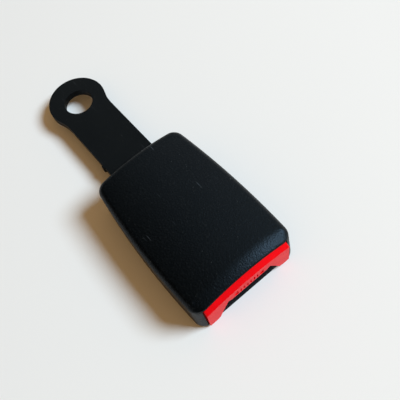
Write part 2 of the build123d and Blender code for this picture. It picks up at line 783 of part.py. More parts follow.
with BuildPart() as push_button:
    with BuildSketch(Plane.XY.offset(button_bottom_z)):
        with Locations((0, face_y)):
            Rectangle(button_width, button_cap_length, align=(Align.CENTER, Align.MIN))
    extrude(amount=housing_height)
    add(button_room, mode=Mode.INTERSECT)

    # bevel along the upper edge of the face
    face_edges = push_button.edges().filter_by_position(Axis.Y, face_y - touch, face_y + touch)
    face = push_button.faces().sort_by(Axis.Y)[0]
    chamfer(face_edges.sort_by(Axis.Z)[-1], button_bevel_height, button_bevel_depth, reference=face)

    # hollow behind the face, open below and to the rear
    add(core, mode=Mode.SUBTRACT)
    with BuildSketch(Plane.XY.offset(button_bottom_z)):
        with Locations((0, face_y + button_front_wall)):
            Rectangle(2 * button_width, button_cap_length, align=(Align.CENTER, Align.MIN))
    extrude(amount=skirt_z - button_bottom_z, mode=Mode.SUBTRACT)

    # arch over the tongue's way in
    with BuildSketch(Plane.XZ.offset(-face_y - button_front_wall)):
        low_half = arch_half(button_bottom_z - spare)
        Polygon(
            (-low_half, button_bottom_z - spare),
            (low_half, button_bottom_z - spare),
            (arch_top_width / 2, arch_top_z),
            (-arch_top_width / 2, arch_top_z),
            align=None,
        )
    extrude(amount=2 * button_front_wall, both=True, mode=Mode.SUBTRACT)
    face_edges = push_button.edges().filter_by_position(Axis.Y, face_y - touch, face_y + touch)
    inner_edges = [e for e in face_edges if abs(e.center().X) < arch_bottom_width / 2]
    arch_edges = [e for e in inner_edges if button_bottom_z + touch < e.center().Z < arch_top_z + touch]
    chamfer(arch_edges, arch_lead_in)

    # recess with upright grip ribs
    with BuildSketch(Plane.XZ.offset(-face_y)):
        with Locations((0, grip_z)):
            Rectangle(grip_width, grip_height, align=(Align.CENTER, Align.MIN))
        with GridLocations(grip_step, 0, grip_rib_count, 1):
            with Locations((0, grip_z)):
                Rectangle(grip_rib_width, grip_height, align=(Align.CENTER, Align.MIN), mode=Mode.SUBTRACT)
    extrude(amount=-grip_depth, mode=Mode.SUBTRACT)

    # side arms: a ramp under each end of the lift pin, then a pad with a spring stub
    for side in (-1, 1):
        with BuildSketch(across.offset(side * arm_inner_x)):
            Polygon(
                (face_y + arm_root, arm_lower_height),
                (arm_end_y, arm_lower_height),
                (arm_end_y, arm_low_z),
                (ramp_foot_y, arm_low_z),
                (ramp_top_y, arm_high_z),
                (face_y + arm_root, arm_high_z),
                align=None,
            )
        extrude(amount=side * arm_thickness)
        with BuildSketch(Plane.XZ.offset(-arm_end_y)):
            with Locations((side * arm_inner_x, button_spring_height)):
                pad_align = Align.MIN if side > 0 else Align.MAX
                Rectangle(button_spring_diameter, button_spring_diameter, align=(pad_align, Align.CENTER))
        extrude(amount=arm_pad_thickness)
        with BuildSketch(Plane.XZ.offset(-arm_end_y)):
            with Locations((side * button_spring_offset, button_spring_height)):
                Circle(button_stub_radius)
        extrude(amount=-spring_stub_length)

        # lug that stops the button against the mouth's pillar
        with BuildSketch(Plane.XY.offset(floor_z + locating_lip_height)):
            with Locations((side * button_half, cavity_front_y + rest_gap)):
                Rectangle(button_lug, button_lug, align=(Align.CENTER, Align.MIN))
        extrude(amount=button_lug_height)

# ---------------------------------------------------------------- tongue guide

guide_rear_y = frame_front_y + guide_setback + guide_length
guide_half = frame_inner_half - rest_gap

with BuildPart() as tongue_guide:
    with BuildSketch(Plane.XZ.offset(-guide_rear_y)):
        with Locations((0, rest_gap)):
            guide_height = latch_plate_height + guide_thickness - rest_gap
            Rectangle(2 * guide_half, guide_height, align=(Align.CENTER, Align.MIN))
    extrude(amount=guide_length)
    with BuildSketch(across):
        with Locations((guide_peg_y, guide_peg_z)):
            Circle(guide_peg_diameter / 2)
    extrude(amount=frame_half - guide_peg_shortfall, both=True)
    with BuildSketch(Plane.XY):
        with Locations((0, guide_peg_y)):
            Rectangle(tongue_channel_width, guide_length * 2)
    extrude(amount=latch_plate_height, mode=Mode.SUBTRACT)

# ---------------------------------------------------------------- springs

ejector_seat_y = ejector_rear_y - ejector_bore_depth
ejector_spring_length = plate_end_y - ejector_seat_y - 2 * coil_gap
latch_spring_length = crown_height(latch_spring_diameter / 2, cover_wall) - latch_top_z - 2 * coil_gap

button_spring = coil_spring(
    (0, arm_end_y + coil_gap, button_spring_height),
    (0, 1, 0),
    button_spring_length - 2 * coil_gap,
    button_spring_diameter,
    button_spring_wire,
    button_spring_turns,
)
button_spring_left = button_spring.moved(Location((-button_spring_offset, 0, 0)))
button_spring_right = button_spring.moved(Location((button_spring_offset, 0, 0)))
ejector_spring = coil_spring(
    (0, ejector_seat_y + coil_gap, ejector_mid_z),
    (0, 1, 0),
    ejector_spring_length,
    ejector_spring_diameter,
    ejector_spring_wire,
    ejector_spring_turns,
)
latch_spring = coil_spring(
    (0, latch_spring_y, latch_top_z + coil_gap),
    (0, 0, 1),
    latch_spring_length,
    latch_spring_diameter,
    latch_spring_wire,
    latch_spring_turns,
)

# ---------------------------------------------------------------- export

pieces = {
    "top_cover": top_cover.part,
    "bottom_cover": bottom_cover.part,
    "buckle_frame": buckle_frame.part,
    "anchor_plate": anchor_plate.part,
    "anchor_rivets": anchor_rivets.part,
    "latch": latch.part,
    "latch_pivot_pin": latch_pivot_pin.part,
    "pivot_pin_clip": pivot_pin_clip.part,
    "latch_lift_pin": latch_lift_pin.part,
    "ejector": ejector.part,
    "push_button": push_button.part,
    "tongue_guide": tongue_guide.part,
    "button_spring_left": button_spring_left,
    "button_spring_right": button_spring_right,
    "ejector_spring": ejector_spring,
    "latch_spring": latch_spring,
}
for name, piece in pieces.items():
    piece.label = name
    export_step(piece, f"parts/{name}.step")
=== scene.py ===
"""Seat belt buckle on a rigid steel stem: finished pieces, materials and a small studio.

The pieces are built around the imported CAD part, in metres and in its frame: +Z is up, towards
the crowned cover, and the release button is at the -Y end.
"""

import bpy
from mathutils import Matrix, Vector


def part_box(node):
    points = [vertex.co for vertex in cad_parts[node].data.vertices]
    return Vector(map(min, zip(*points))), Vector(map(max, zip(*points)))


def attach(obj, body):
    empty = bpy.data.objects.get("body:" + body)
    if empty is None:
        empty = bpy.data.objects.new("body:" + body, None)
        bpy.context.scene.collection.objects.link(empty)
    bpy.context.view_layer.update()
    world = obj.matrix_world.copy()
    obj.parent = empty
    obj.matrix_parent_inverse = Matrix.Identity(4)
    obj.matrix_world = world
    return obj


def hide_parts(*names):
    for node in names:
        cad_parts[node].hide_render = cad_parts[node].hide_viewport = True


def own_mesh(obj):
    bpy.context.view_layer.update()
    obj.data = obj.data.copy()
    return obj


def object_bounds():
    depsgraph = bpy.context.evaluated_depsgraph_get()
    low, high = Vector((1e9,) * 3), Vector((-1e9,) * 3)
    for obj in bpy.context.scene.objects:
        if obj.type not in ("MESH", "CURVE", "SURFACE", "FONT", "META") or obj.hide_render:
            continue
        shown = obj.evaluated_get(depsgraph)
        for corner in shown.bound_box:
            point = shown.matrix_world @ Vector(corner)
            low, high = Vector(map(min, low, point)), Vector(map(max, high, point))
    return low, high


bl_info = {
    "name": "Seat Belt Buckle",
    "version": (1, 0, 0),
    "blender": (4, 5, 0),
    "location": "3D View > Sidebar > Buckle",
    "description": "Builds a seat belt buckle, its finishes and a studio around the packed CAD part",
    "category": "Object",
}

from math import acos, cos, pi, radians, sin, sqrt

import bmesh
import bpy
from bpy.props import FloatProperty, FloatVectorProperty, PointerProperty
from mathutils import Matrix, Vector

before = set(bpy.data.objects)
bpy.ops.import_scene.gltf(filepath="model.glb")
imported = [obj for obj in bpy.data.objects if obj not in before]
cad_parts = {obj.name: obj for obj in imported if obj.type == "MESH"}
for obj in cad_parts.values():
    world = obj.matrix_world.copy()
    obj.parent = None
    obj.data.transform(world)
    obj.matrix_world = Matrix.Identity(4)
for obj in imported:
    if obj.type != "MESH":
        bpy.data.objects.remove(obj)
cad_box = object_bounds()

MM = 0.001
WELD = 1e-6  # corners closer than this are one
SHORTEST = 5 * WELD  # finished pieces have no edges shorter than this
LEVEL = 0.01 * MM  # heights closer than this are level


# ---------------------------------------------------------------- settings


def colour_setting(name, description, default):
    """A colour that the panel shows."""
    return FloatVectorProperty(
        name=name, description=description, default=default, subtype="COLOR", size=3, min=0, max=1
    )


def length_setting(name, description, millimetres):
    """A length that the panel shows."""
    return FloatProperty(
        name=name,
        description=description,
        default=millimetres * MM,
        min=0,
        unit="LENGTH",
        precision=5,
    )


def strength_setting(name, description):
    """A light's strength, with 1 as its usual level."""
    return FloatProperty(name=name, description=description, default=1.0, min=0)


class BuckleColours(bpy.types.PropertyGroup):
    """Colours of the finishes."""

    housing: colour_setting(
        "Housing", "Grained black plastic of both covers", (0.0022, 0.0024, 0.0024)
    )
    button: colour_setting("Button", "Red plastic of the release button", (0.76, 0.002, 0.006))
    stem: colour_setting("Stem", "Black paint on the steel stem", (0.0022, 0.0022, 0.0018))
    zinc: colour_setting(
        "Zinc", "Plated steel of the frame, the rivets and the pivot pin", (0.60, 0.57, 0.48)
    )
    latch: colour_setting(
        "Latch", "Hardened steel of the latch and its lift pin", (0.30, 0.30, 0.31)
    )
    wire: colour_setting("Wire", "Drawn steel of the springs and the clip", (0.50, 0.50, 0.52))
    acetal: colour_setting("Acetal", "Natural plastic of the ejector", (0.78, 0.75, 0.66))
    guide: colour_setting("Guide", "Dark plastic of the tongue guide", (0.016, 0.016, 0.018))
    floor: colour_setting("Floor", "Pale table top", (0.79, 0.80, 0.785))


class BuckleSizes(bpy.types.PropertyGroup):
    """Sizes that only the looks need."""

    grain: length_setting("Grain", "Width of one cell of the moulded grain", 0.45)
    grain_depth: length_setting("Grain depth", "Height of the moulded grain", 0.07)
    soft_edge: length_setting("Soft edge", "Rounding of the edges of the moulded covers", 0.20)
    button_edge: length_setting("Button edge", "Rounding of the edges of the button's face", 0.30)
    front_roll: length_setting(
        "Front roll", "Length of the soft roll at the cover's front edge", 5.2
    )


class BuckleStudio(bpy.types.PropertyGroup):
    """Camera and light."""

    lens: FloatProperty(
        name="Lens",
        description="Focal length in millimetres",
        default=48.7185,
        min=1,
        unit="CAMERA",
    )
    key: strength_setting("Key light", "Strength of the window light")
    room: strength_setting("Room light", "Strength of the light from all round")


class BuckleSettings(bpy.types.PropertyGroup):
    """Everything that the operators read."""

    colours: PointerProperty(
        type=BuckleColours, name="Colours", description="Colours of the finishes"
    )
    sizes: PointerProperty(
        type=BuckleSizes, name="Sizes", description="Sizes that only the looks need"
    )
    studio: PointerProperty(type=BuckleStudio, name="Studio", description="Camera and light")


def settings():
    """The settings kept in the open scene."""
    return bpy.context.scene.buckle


# ---------------------------------------------------------------- node trees


MIX_FACTOR, MIX_A, MIX_B, MIX_RESULT = 0, 6, 7, 2  # sockets of a Mix node that mixes colours
MOST = (0.3, 0.7)  # most of a noise lies between these


class Tree:
    """The node tree of a material or of the world."""

    def __init__(self, owner, coordinates):
        owner.use_nodes = True
        self.nodes = owner.node_tree.nodes
        self.links = owner.node_tree.links
        self.nodes.clear()
        self.place = self.add("TexCoord").outputs[coordinates]

    def put(self, socket, value):
        """Link an output to a socket, or set the socket's own value."""
        if isinstance(value, bpy.types.NodeSocket):
            self.links.new(value, socket)
        elif socket.type == "RGBA":
            socket.default_value = (*value[:3], 1)
        else:
            socket.default_value = value

    def fill(self, node, **values):
        """Link or set inputs of a node by name."""
        for name, value in values.items():
            self.put(node.inputs[name.replace("_", " ")], value)

    def add(self, kind, **values):
        """A new node with some of its inputs linked or set."""
        node = self.nodes.new("ShaderNode" + kind)
        self.fill(node, **values)
        return node

    def stretch(self, scale=(1, 1, 1), turn=0):
        """The place, scaled and then turned about Z by some degrees."""
        rotation = (0, 0, radians(turn))
        node = self.add("Mapping", Vector=self.place, Scale=scale, Rotation=rotation)
        return node.outputs["Vector"]

    def noise(self, size, detail, roughness, place=None):
        """Noise with lumps of about this size, from 0 to 1."""
        node = self.add("TexNoise", Vector=place or self.place, Scale=1 / size)
        self.fill(node, Detail=detail, Roughness=roughness)
        return node.outputs["Fac"]

    def cells(self, size):
        """Distance from the middle of soft cells of about this size."""
        node = self.add("TexVoronoi", Vector=self.place, Scale=1 / size)
        node.feature = "SMOOTH_F1"
        return node.outputs["Distance"]

    def between(self, value, low, high, to_low=0.0, to_high=1.0):
        """Value from low to high, brought to to_low to to_high and held there."""
        node = self.add("MapRange", Value=value, From_Min=low, From_Max=high)
        self.fill(node, To_Min=to_low, To_Max=to_high)
        return node.outputs["Result"]

    def math(self, operation, a, b):
        """A sum, product or the like of two values."""
        node = self.add("Math")
        node.operation = operation
        self.put(node.inputs[0], a)
        self.put(node.inputs[1], b)
        return node.outputs[0]

    def times(self, a, b):
        """Product of two values."""
        return self.math("MULTIPLY", a, b)

    def mix(self, amount, a, b):
        """Colour from a to b by amount."""
        node = self.add("Mix")
        node.data_type = "RGBA"
        self.put(node.inputs[MIX_FACTOR], amount)
        self.put(node.inputs[MIX_A], a)
        self.put(node.inputs[MIX_B], b)
        return node.outputs[MIX_RESULT]

    def bump(self, height, distance):
        """Normals of a surface that stands out by a height times a distance."""
        node = self.add("Bump", Height=height, Distance=distance, Strength=1.0)
        return node.outputs["Normal"]


class Finish(Tree):
    """A material with one principled shader, its patterns laid out in the object's own space."""

    def __init__(self, name):
        self.material = bpy.data.materials.new(name)
        super().__init__(self.material, "Object")
        self.shader = self.add("BsdfPrincipled")
        self.add("OutputMaterial", Surface=self.shader.outputs["BSDF"])

    def set(self, **values):
        """Link or set inputs of the shader by name."""
        self.fill(self.shader, **values)


# ---------------------------------------------------------------- finishes


PAINTED_BLUE_SHEEN = (0.55, 0.78, 1.0)  # painted reflection: tints every reflection on the black finishes blue, standing in for bluish window light
SCUFF_COLOUR = (0.060, 0.072, 0.086)
RUB_COLOUR = (0.05, 0.055, 0.06)
DUST_COLOUR = (0.10, 0.11, 0.11)
GREY_DUST_COLOUR = (0.10, 0.10, 0.10)
SCUFFS = ((62, 9 * MM), (-24, 13 * MM))  # direction in degrees, size of the scuffed patches
SCUFF_STRETCH = (1.0, 0.07, 0.3)  # scuffs are long and thin
RUB_STRETCH = (1.0, 0.08, 1.0)
RUB_TURN = -12  # rubs run nearly along the stem


def shade(colour, factor):
    """A colour made darker or lighter, never past white."""
    return tuple(min(1.0, c * factor) for c in colour)


def grained_black(colour):
    """Black moulded plastic with a fine leather-like grain, faint scuffs and dust, and painted light:
    glints on the grain, shade in its grooves, a blue sheen.
    """
    grain = settings().sizes.grain
    t = Finish("GrainedBlackPlastic")
    pebbles = t.cells(grain)
    fine = t.noise(grain * 0.35, 3.0, 0.6)
    clouds = t.noise(14 * MM, 3.0, 0.55)
    scuffs = 0.0
    for turn, patch in SCUFFS:
        lines = t.noise(0.45 * MM, 0.0, 0.5, t.stretch(SCUFF_STRETCH, turn))
        patches = t.between(t.noise(patch, 1.0, 0.5), 0.60, 0.70)
        scuffs = t.math("MAXIMUM", t.times(t.between(lines, 0.80, 0.86), patches), scuffs)
    dust = t.between(t.noise(0.6 * MM, 0.0, 0.5), 0.86, 0.89)
    grain_and_glints = t.noise(grain * 1.5, 1.0, 0.6)

    base = t.mix(t.between(clouds, *MOST), shade(colour, 0.82), shade(colour, 1.22))
    # painted glints: light specks in the colour stand in for the grain catching the light; the same
    # noise also raises the grain
    base = t.mix(t.between(grain_and_glints, 0.56, 0.72), base, shade(colour, 3.2))
    # painted shade: darker in the grooves between the grain's pebbles, where the bump sinks them
    base = t.mix(t.between(pebbles, 0.15, 0.75), base, shade(colour, 0.4))
    base = t.mix(t.times(scuffs, 0.6), base, SCUFF_COLOUR)
    base = t.mix(t.times(dust, 0.5), base, DUST_COLOUR)

    rough = t.math("SUBTRACT", t.between(fine, *MOST, 0.36, 0.45), t.times(scuffs, 0.08))
    height = t.math("ADD", t.times(pebbles, -0.7), t.times(fine, 0.35))
    height = t.math("ADD", height, t.times(grain_and_glints, 1.4))
    t.set(Base_Color=base, Roughness=rough, Normal=t.bump(height, settings().sizes.grain_depth))
    # painted reflection: the sheen tints the reflections blue
    t.set(Specular_IOR_Level=0.25, IOR=1.35, Specular_Tint=PAINTED_BLUE_SHEEN)
    return t.material


def glossy_red(colour):
    """Saturated red plastic with a satin gloss and faint rubbing."""
    t = Finish("GlossyRedPlastic")
    clouds = t.noise(6 * MM, 3.0, 0.5)
    fine = t.noise(0.35 * MM, 2.0, 0.5)
    base = t.mix(t.between(clouds, *MOST), shade(colour, 0.93), shade(colour, 1.05))
    t.set(Base_Color=base, Roughness=t.between(fine, *MOST, 0.26, 0.36))
    t.set(Normal=t.bump(fine, 0.004 * MM), Specular_IOR_Level=0.2, IOR=1.25)
    t.set(Subsurface_Weight=0.06, Subsurface_Scale=1.0 * MM)
    return t.material


def painted_black(colour):
    """Black paint on steel, slightly orange-peeled, with dust and small rubs."""
    t = Finish("BlackPaintedSteel")
    peel = t.noise(0.9 * MM, 2.0, 0.5)
    clouds = t.noise(9 * MM, 3.0, 0.6)
    rub_lines = t.noise(0.8 * MM, 2.0, 0.5, t.stretch(RUB_STRETCH, RUB_TURN))
    rubs = t.times(t.between(rub_lines, 0.67, 0.75), t.between(clouds, 0.45, 0.65))
    dust = t.between(t.noise(0.45 * MM, 1.0, 0.5), 0.71, 0.78)
    base = t.mix(t.between(clouds, *MOST), shade(colour, 0.8), shade(colour, 1.25))
    base = t.mix(t.times(rubs, 0.3), base, RUB_COLOUR)
    base = t.mix(t.times(dust, 0.15), base, GREY_DUST_COLOUR)
    t.set(Base_Color=base, Roughness=t.between(clouds, *MOST, 0.42, 0.52))
    t.set(Normal=t.bump(peel, 0.012 * MM))
    # painted reflection: the sheen tints the reflections blue
    t.set(Specular_IOR_Level=0.21, IOR=1.35, Specular_Tint=PAINTED_BLUE_SHEEN)
    return t.material


def metal(name, colour, along=(1, 1, 1), size=0.25 * MM, rough=(0.24, 0.40)):
    """Bare or plated steel with fine marks, longest where along is small, and faint stains."""
    t = Finish(name)
    marks = t.noise(size, 3.0, 0.6, t.stretch(along))
    clouds = t.noise(5 * MM, 3.0, 0.6)
    base = t.mix(t.between(clouds, 0.35, 0.7), colour, shade(colour, 0.85))
    t.set(Base_Color=base, Metallic=1.0, Roughness=t.between(marks, *MOST, *rough))
    t.set(Normal=t.bump(marks, 0.004 * MM))
    return t.material


def moulded(name, colour):
    """Smooth moulded plastic with a faint texture and slight mottling."""
    t = Finish(name)
    fine = t.noise(0.3 * MM, 3.0, 0.6)
    clouds = t.noise(4 * MM, 3.0, 0.5)
    base = t.mix(t.between(clouds, *MOST), shade(colour, 0.9), shade(colour, 1.06))
    t.set(Base_Color=base, Roughness=t.between(fine, *MOST, 0.36, 0.48))
    t.set(Normal=t.bump(fine, 0.006 * MM))
    return t.material


MAKERS = {  # what makes each slot's material from the colours of the settings
    "black_plastic": lambda c: grained_black(c.housing),
    "red_plastic": lambda c: glossy_red(c.button),
    "painted_steel": lambda c: painted_black(c.stem),
    "plated_steel": lambda c: metal("ZincPlatedSteel", c.zinc, (1, 0.2, 1)),
    "hardened_steel": lambda c: metal("HardenedSteel", c.latch, (0.15, 1, 1), rough=(0.3, 0.45)),
    "spring_steel": lambda c: metal("SpringWire", c.wire, size=0.15 * MM, rough=(0.2, 0.32)),
    "natural_plastic": lambda c: moulded("NaturalAcetal", c.acetal),
    "dark_plastic": lambda c: moulded("DarkPlastic", c.guide),
}
FINISHES = {}


def finish_for(slot):
    """The material of a slot, made once."""
    if slot not in FINISHES:
        FINISHES[slot] = MAKERS[slot](settings().colours)
    return FINISHES[slot]


# ---------------------------------------------------------------- working on meshes


def edges_between(bm, low, high=180):
    """Edges whose two faces meet at an angle from low to high, in degrees."""
    edges = [e for e in bm.edges if len(e.link_faces) == 2]
    return [e for e in edges if radians(low) < e.calc_face_angle() < radians(high)]


def is_lying(edge):
    """Whether an edge rises by less than half its length."""
    run = edge.verts[0].co - edge.verts[1].co
    return abs(run.z) < 0.5 * run.length


def rounded(bm, edges, radius, segments, clamp=True):
    """Round some edges."""
    bmesh.ops.bevel(
        bm,
        geom=edges,
        offset=radius,
        segments=segments,
        profile=0.5,
        affect="EDGES",
        material=-1,
        clamp_overlap=clamp,
    )


def merged_copy(node, flat=0.5):
    """A bmesh of a CAD node, welded, with faces that are flat to some degrees joined."""
    bm = bmesh.new()
    bm.from_mesh(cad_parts[node].data)
    bmesh.ops.remove_doubles(bm, verts=bm.verts, dist=WELD)
    if flat:
        bmesh.ops.dissolve_limit(bm, angle_limit=radians(flat), verts=bm.verts, edges=bm.edges)
    return bm


def cleaned(bm):
    """Weld a mesh and take out its slivers and its faces of more than four corners."""
    bmesh.ops.remove_doubles(bm, verts=bm.verts, dist=SHORTEST)
    bmesh.ops.dissolve_degenerate(bm, dist=SHORTEST, edges=bm.edges)
    bmesh.ops.triangulate(bm, faces=[f for f in bm.faces if len(f.verts) > 4])
    bmesh.ops.dissolve_degenerate(bm, dist=SHORTEST, edges=bm.edges)


def add_object(bm, name, material):
    """Put a bmesh into the scene as an object of one material, at the origin."""
    mesh = bpy.data.meshes.new(name)
    bm.to_mesh(mesh)
    bm.free()
    mesh.materials.append(material)
    thing = bpy.data.objects.new(name, mesh)
    bpy.context.scene.collection.objects.link(thing)
    return thing


def add_piece(bm, name, slot, body, *nodes, smooth_angle=32, soft_edge=0.0, edge_angle=34):
    """Turn a bmesh into a finished piece that rides on a body and stands for CAD nodes."""
    if soft_edge:
        rounded(bm, edges_between(bm, edge_angle), soft_edge, segments=2)
    cleaned(bm)
    piece = add_object(bm, name, finish_for(slot))
    for polygon in piece.data.polygons:
        polygon.use_smooth = True
    piece.data.set_sharp_from_angle(angle=radians(smooth_angle))
    weigh = piece.modifiers.new("EvenNormals", "WEIGHTED_NORMAL")
    weigh.keep_sharp = True
    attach(piece, body)
    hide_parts(*nodes)
    return piece


def add_copies(rows, slot, body):
    """Copies of CAD nodes with softened edges, from rows of a node and a radius in millimetres."""
    for node, radius in rows:
        add_piece(merged_copy(node), node + "_finished", slot, body, node, soft_edge=radius * MM)


# ---------------------------------------------------------------- covers


CROWN_TOP = cad_box[1][2]
CROWN_RADIUS = 73.5 * MM
COVER_WALL = 2.0 * MM
CORNER_RADIUS = 4.5 * MM  # of the cover's front corners in plan
FRONT_HALF = 21.3 * MM
FRONT_Y = -108.0 * MM
FRONT_LEAN = 1.9 / 17.0  # the mouth leans back by this much for each unit of height
PARTING_Z = -1.6 * MM
ROLL_RADIUS = 2.4 * MM  # of the top's rounded edge before it is drawn out

SLOPE_DROP = 1.55 * MM  # the soft slope falls by this
SLOPE_POWER = 1.9  # 1 is a straight slope, and more starts it softer
SLOPE_SHARE = 0.86  # share of the old rounding that becomes the slope; the rest is the lip
LIP_TURN = radians(80)  # the old rounding has turned this far at the lip's foot
ROLL_REACH = ROLL_RADIUS + 0.7 * MM  # the roll takes along what lies this far in from the front
ROLL_DROPS = (-0.05 * MM, 1.02 * ROLL_RADIUS)  # and this far below the crown

TOP_FLATS = (12, 27)  # the flats of the top cover's rounded edge meet at these degrees
TOP_FLATS_RADIUS = 0.40 * MM
TRAY_FLATS = (18, 27)  # and those of the bottom cover at these
TRAY_FLATS_RADIUS = 0.45 * MM
FLATS_SEGMENTS = 4


def crown_height(x):
    """Height of the cover's crowned top at a distance x from the middle."""
    return CROWN_TOP - CROWN_RADIUS + sqrt(CROWN_RADIUS**2 - x * x)


def stretch_front_roll(bm, length):
    """Draw the front rounding out over the top: a long soft slope, then a short lip."""
    for v in bm.verts:
        x, y, z = v.co
        drop = crown_height(x) - z
        on_ceiling = abs(drop - COVER_WALL) < LEVEL
        if on_ceiling or not ROLL_DROPS[0] < drop < ROLL_DROPS[1]:
            continue
        out = FRONT_Y + FRONT_LEAN * (z - PARTING_Z) + CORNER_RADIUS - y
        aside = max(0.0, abs(x) - FRONT_HALF + CORNER_RADIUS)
        if out <= 0:
            continue
        reach = sqrt(out * out + aside * aside)
        inside = CORNER_RADIUS - reach
        if inside > ROLL_REACH:
            continue
        share = (out / reach) ** 2  # all along the front, fading out round the corners
        if inside >= ROLL_RADIUS * 0.999:
            v.co.y += share * (length - ROLL_RADIUS)
            continue
        turned = acos(max(0.0, min(1.0, 1 - drop / ROLL_RADIUS))) / LIP_TURN
        along = min(1.0, turned / SLOPE_SHARE)
        new_drop = SLOPE_DROP * along**SLOPE_POWER
        if turned > SLOPE_SHARE:
            new_drop += (COVER_WALL - SLOPE_DROP) * (turned - SLOPE_SHARE) / (1 - SLOPE_SHARE)
        v.co.y += share * (length * (1 - along) - inside)
        v.co.z -= share * (new_drop - drop)


class BUCKLE_OT_covers(bpy.types.Operator):
    """Make the crowned top cover and the bottom cover of black grained plastic"""

    bl_idname = "buckle.covers"
    bl_label = "Covers"

    def execute(self, context):
        sizes = settings().sizes
        top = merged_copy("top_cover")
        flats = [e for e in edges_between(top, *TOP_FLATS) if is_lying(e)]
        rounded(top, flats, TOP_FLATS_RADIUS, FLATS_SEGMENTS, clamp=False)
        stretch_front_roll(top, sizes.front_roll)
        tray = merged_copy("bottom_cover")
        rounded(tray, edges_between(tray, *TRAY_FLATS), TRAY_FLATS_RADIUS, FLATS_SEGMENTS)
        for bm, node in ((top, "top_cover"), (tray, "bottom_cover")):
            name = node + "_shell"
            add_piece(bm, name, "black_plastic", "housing", node, soft_edge=sizes.soft_edge)
        return {"FINISHED"}


# ---------------------------------------------------------------- release button


FACE_Y = -108.2 * MM
FACE_BACK_Y = -106.0 * MM
BUTTON_HALF = 18.1 * MM
BUTTON_CORNER = 0.8 * MM
CORNER_COLUMNS = (1, 0.6, 0.3, 0.12, 0)  # columns round the corner, as shares of its radius
BUTTON_LOW_Z = -3.3 * MM
BUTTON_DROP = 2.35 * MM  # top of the button below the crown
STRIP_DEPTH = 1.65 * MM  # the strip along the top leans back by this much
STRIP_HEIGHT = 1.8 * MM
ARCH_FOOT = 13.5 * MM
ARCH_CORNER = 9.2 * MM
ARCH_MIDWAY = 10.6 * MM  # one more column between the arch's corner and its foot
ARCH_TOP_Z = 4.2 * MM
LEAD_IN = (  # distance from the middle, then the height and the depth of the arch's lead-in
    (0.0, 0.7 * MM, 0.7 * MM),
    (7.7 * MM, 0.7 * MM, 0.7 * MM),
    (ARCH_CORNER, 1.6 * MM, 1.5 * MM),
    (12.1 * MM, 1.6 * MM, 0.8 * MM),
    (ARCH_FOOT, 0.9 * MM, 0.5 * MM),
    (15.0 * MM, 0.25 * MM, 0.25 * MM),
)
GRIP_LOW_Z = 5.5 * MM
GRIP_HIGH_Z = 7.9 * MM
GRIP_HALF = 6.3 * MM
GRIP_RIBS_ASIDE = 3  # ribs on each side of the middle one
GRIP_STEP = 1.4625 * MM
GRIP_RIB_HALF = 0.45 * MM
GRIP_DEPTH = 0.3 * MM
FACE_EDGE_ANGLE = 24  # edges of the front whose faces meet at more degrees are rounded
BACK_MARGIN = 0.1 * MM  # and that aren't nearer to the back than this
FINE_EDGE_ANGLE = 60  # the cells' walls and the back's rim meet the rest at more degrees
FINE_EDGE = 0.1 * MM
BODY_EDGE = 0.1 * MM


def blend(x, *stops):
    """Value at x between stops of place and value."""
    for (x0, a), (x1, b) in zip(stops, stops[1:]):
        if x <= x1:
            return a + (b - a) * max(0.0, x - x0) / (x1 - x0)
    return stops[-1][1]


def face_columns():
    """Places of the face's columns across its width: the ribs' sides, then the outline."""
    count = GRIP_RIBS_ASIDE + 1
    ribs = [i * GRIP_STEP + side * GRIP_RIB_HALF for i in range(count) for side in (-1, 1)][1:]
    arch = [GRIP_HALF, ARCH_MIDWAY, *(at for at, height, depth in LEAD_IN[1:])]
    corner = [BUTTON_HALF - share * BUTTON_CORNER for share in CORNER_COLUMNS]
    right = ribs + arch + corner
    return sorted([-x for x in right] + right)


def face_rows(x):
    """Height and depth of each row of the face at a place x, from the arch to the top."""
    x = abs(x)
    low = blend(x, (ARCH_CORNER, ARCH_TOP_Z), (ARCH_FOOT, BUTTON_LOW_Z))
    first = low + blend(x, *((at, height) for at, height, depth in LEAD_IN))
    lead_in = blend(x, *((at, depth) for at, height, depth in LEAD_IN))
    top = crown_height(x) - BUTTON_DROP
    last = top - STRIP_HEIGHT
    past = max(0.0, x - BUTTON_HALF + BUTTON_CORNER)
    top -= BUTTON_CORNER - sqrt(max(0.0, BUTTON_CORNER**2 - past**2))
    # level with the grip near the middle, and in even thirds at the feet
    second = blend(x, (GRIP_HALF, (GRIP_LOW_Z - first) / (last - first)), (ARCH_FOOT, 1 / 3))
    third = blend(x, (GRIP_HALF, (GRIP_HIGH_Z - first) / (last - first)), (ARCH_FOOT, 2 / 3))
    return (
        (low, FACE_Y + lead_in),
        (first, FACE_Y),
        (first + second * (last - first), FACE_Y),
        (first + third * (last - first), FACE_Y),
        (last, FACE_Y),
        (top, FACE_Y + STRIP_DEPTH),
    )


def face_sheet():
    """The front of the button as a sheet, drawn to the arch and to the crowned top."""
    columns = face_columns()
    spans, rises = len(columns) - 1, len(face_rows(0.0)) - 1
    bm = bmesh.new()
    bmesh.ops.create_grid(bm, x_segments=spans, y_segments=rises, size=1)
    for v in bm.verts:
        x = columns[round((v.co.x + 1) / 2 * spans)]
        z, y = face_rows(x)[round((v.co.y + 1) / 2 * rises)]
        v.co = (x, y, z)
    return bm


def is_grip_cell(face):
    """Whether a face lies in the grip, between its ribs."""
    x, y, z = face.calc_center_median()
    x = abs(x)
    in_grip = x < GRIP_HALF and GRIP_LOW_Z < z < GRIP_HIGH_Z and y < FACE_Y + LEVEL
    near_rib = abs(x - GRIP_STEP * round(x / GRIP_STEP)) < GRIP_RIB_HALF
    return in_grip and not (near_rib and x < (GRIP_RIBS_ASIDE + 0.5) * GRIP_STEP)


